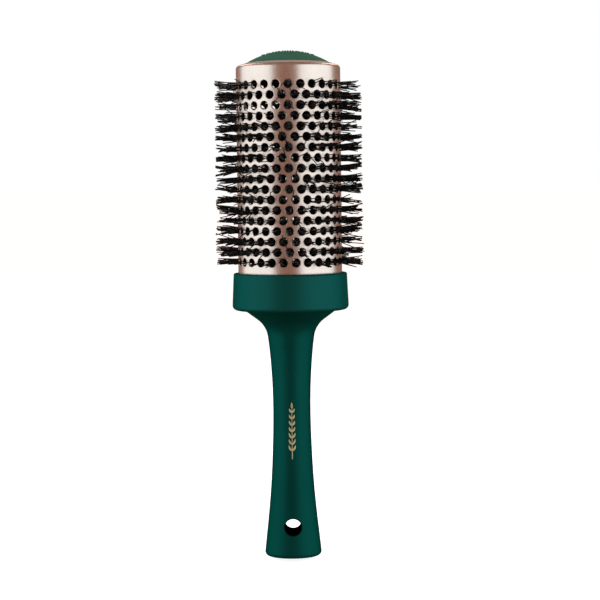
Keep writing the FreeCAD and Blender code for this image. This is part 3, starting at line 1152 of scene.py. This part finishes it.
@dataclass(frozen=True)
class SoftBox:
    """One rectangular light; its azimuth is in degrees from the front, positive towards +X."""

    name: str
    azimuth: float
    distance: float = 1.0
    size: Pair = (2.0, 1.6)
    watts: float = 14.0
    height: float = 0.17
    tint: Colour = (0.62, 0.89, 1.0)

    def hang(self, aim_height: float) -> None:
        """Hang the light so that it faces the brush.

        Args:
            aim_height: height of the point on the brush's axis that it faces.
        """
        light = bpy.data.lights.new(self.name, "AREA")
        light.shape = "RECTANGLE"
        light.size, light.size_y = self.size
        light.energy = self.watts
        light.color = self.tint
        box = bpy.data.objects.new(self.name, light)
        bpy.context.collection.objects.link(box)
        turn = math.radians(self.azimuth)
        box.location = (self.distance * math.sin(turn), -self.distance * math.cos(turn), self.height)
        facing = Vector((0, 0, aim_height)) - box.location
        box.rotation_euler = facing.to_track_quat("-Z", "Y").to_euler()
        box.visible_camera = False


@dataclass
class Studio:
    """White floor and world, a wide soft box on each side, one overhead, and the camera."""

    camera_distance: float = 0.902
    camera_height: float = 0.1878
    camera_side: float = 0.0048
    pitch: float = math.radians(-3.56)
    roll: float = math.radians(-0.65)
    lens_mm: float = 106.0
    aim_height: float = 0.16
    boxes: Sequence[SoftBox] = (
        SoftBox("box_left", azimuth=-79),
        SoftBox("box_right", azimuth=67),
        SoftBox("box_top", azimuth=180, distance=0.8, size=(1.2, 0.6), watts=8, height=0.95,
                tint=(0.95, 0.85, 0.78)))
    room_tint: Colour = (1.0, 0.60, 0.45)
    room_strength: float = 0.27
    floor_reach: float = 90.0
    floor_drop: float = 0.002
    floor_colour: Colour = (0.9, 0.9, 0.9)
    floor_glow: float = 0.88

    def floor(self) -> None:
        """A white floor under the brush that glows a little and throws no light on it."""
        mesh = bmesh.new()
        bmesh.ops.create_grid(mesh, x_segments=1, y_segments=1, size=self.floor_reach)
        floor = bpy.data.objects.new("floor", to_mesh(mesh, "floor"))
        floor.location = (0, 0, -self.floor_drop)
        bpy.context.collection.objects.link(floor)
        graph = FinishGraph("floor_white")
        graph.feed(Base_Color=opaque(self.floor_colour), Roughness=0.9,
                   Emission_Strength=self.floor_glow, Emission_Color=opaque(WHITE))
        floor.data.materials.append(graph.material)
        floor.visible_glossy = False
        floor.visible_diffuse = False

    def world(self) -> None:
        """White to the camera, dim and warm as light."""
        world = bpy.data.worlds.new("studio")
        world.use_nodes = True
        graph = Graph(world.node_tree)
        graph.tree.nodes.clear()
        seen = graph.node("ShaderNodeLightPath", output="Is Camera Ray")
        dim = graph.node("ShaderNodeBackground",
                         inputs={"Color": opaque(self.room_tint), "Strength": self.room_strength})
        bright = graph.node("ShaderNodeBackground", inputs={"Color": opaque(WHITE), "Strength": 1.0})
        both = graph.node("ShaderNodeMixShader", inputs={0: seen, 1: dim, 2: bright})
        graph.node("ShaderNodeOutputWorld", inputs={"Surface": both})
        bpy.context.scene.world = world

    def camera(self) -> None:
        """The camera, level with the upper brush and pitched down a little."""
        data = bpy.data.cameras.new("camera")
        data.sensor_width = 36.0
        data.lens = self.lens_mm
        data.clip_start = 0.01
        data.dof.use_dof = False
        camera = bpy.data.objects.new("camera", data)
        bpy.context.collection.objects.link(camera)
        camera.matrix_world = (Matrix.Translation((self.camera_side, -self.camera_distance,
                                                   self.camera_height))
                               @ Matrix.Rotation(math.pi / 2 + self.pitch, 4, "X")
                               @ Matrix.Rotation(self.roll, 4, "Z"))
        bpy.context.scene.camera = camera

    def build(self) -> None:
        """Set up everything round the brush."""
        bpy.context.scene.view_settings.view_transform = "Standard"
        self.floor()
        self.world()
        self.camera()
        for box in self.boxes:
            box.hang(self.aim_height)


# ------------------------------------------------------------------ main


CAP_GAP = 0.1 * MM  # between the end cap and the barrel's lip
TIP_EXCESS = 0.5 * MM  # by which the longest filaments outreach the tufts

# Painted light and shade: collar_height_mm paints the collar lighter, and the bore paints shade into
# the hang hole.
HANDLE_GREEN = SoftTouch(
    "handle_soft_touch", colour=(0.004, 0.078, 0.062), shade=(0.003, 0.068, 0.054), roughness=0.48,
    gloss=0.0, gloss_tint=(0.15, 0.85, 0.75), pearl=0.5, bore_height_mm=16.3, bore_radius_mm=4.25,
    collar_height_mm=127.5)
CAP_GREEN = SoftTouch(
    "cap_plastic", colour=(0.075, 0.205, 0.135), shade=(0.064, 0.180, 0.118), roughness=0.48,
    gloss=0.0, pimple_mm=0.35)
# The barrel's inside colour is painted shade for the inside of the tube.
ROSE_METAL = SatinMetal(
    "barrel_rose_metal", colour=(0.90, 0.69, 0.60), shade=(0.76, 0.55, 0.46), roughness=0.30,
    inside=(0.10, 0.06, 0.05), inner_radius_mm=25.75)
BLACK_NYLON = Nylon(
    "bristle_nylon", colour=(0.009, 0.006, 0.005), shade=(0.004, 0.003, 0.003), roughness=0.42)
HOLDER_BLACK = SoftTouch(
    "holder_plastic", colour=(0.016, 0.015, 0.015), shade=(0.010, 0.010, 0.010), roughness=0.5)
CORE_STEEL = DrawnSteel(
    "core_wire_steel", colour=(0.5, 0.5, 0.5), shade=(0.3, 0.29, 0.28), roughness=0.32)
GRIP_FOIL = GoldFoil(
    "grip_gold_foil", colour=(0.78, 0.68, 0.36), shade=(0.66, 0.57, 0.29), roughness=0.38)


def middle_height(node: str) -> float:
    """Height of the middle of a node's box."""
    low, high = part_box(node)
    return (low[2] + high[2]) / 2


def read_barrel() -> Barrel:
    """Size the barrel from the boxes of the frame's nodes.

    Returns:
        The barrel, with the sizes that no box gives at their defaults.
    """
    low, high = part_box("barrel")
    first_row = middle_height("bristle_row_01")
    last_row = middle_height("bristle_row_%02d" % Barrel.rows)
    return Barrel(foot=low[2], top=high[2], radius=high[0],
                  lip_radius=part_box("end_cap")[1][0] + CAP_GAP, first_row=first_row,
                  row_pitch=(first_row - last_row) / (Barrel.rows - 1))


def read_cap_dots(barrel: Barrel) -> CapDots:
    """Place the end cap's dots on the ball through its crown and its edge at the barrel's top.

    Args:
        barrel: the barrel that the cap sits in.

    Returns:
        The dots.
    """
    edge_radius, _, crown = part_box("end_cap")[1]
    height = crown - barrel.top
    return CapDots(crown, (edge_radius ** 2 + height ** 2) / (2 * height))


def main() -> None:
    """Build the brush's looks round its frame."""
    logging.basicConfig(level=logging.INFO, format="%(name)s: %(message)s")
    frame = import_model()

    green, cap_green, metal, nylon, holder, steel, foil = (
        finish.build() for finish in (HANDLE_GREEN, CAP_GREEN, ROSE_METAL, BLACK_NYLON,
                                      HOLDER_BLACK, CORE_STEEL, GRIP_FOIL))
    for node, material in (("handle", green), ("end_cap", cap_green), ("top_holder", holder),
                           ("bottom_holder", holder), ("core_wire_a", steel),
                           ("core_wire_b", steel)):
        dress_node(frame, node, material)

    barrel = read_barrel()
    adopt(barrel.build(metal), Slot.BARREL, "barrel")
    tufts_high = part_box("bristle_row_01")[1]
    bristles = Bristles(barrel, tip_radius=tufts_high[1] + TIP_EXCESS)
    for row, piece in enumerate(bristles.build(nylon), start=1):
        adopt(piece, Slot.BRISTLE, "bristle_row_%02d" % row)
    adopt(read_cap_dots(barrel).build(cap_green), Slot.CAP)
    adopt(Sprig().build(frame["nodes"]["handle"], foil), Slot.HANDLE)

    Studio().build()


if __name__ == "__main__":
    main()
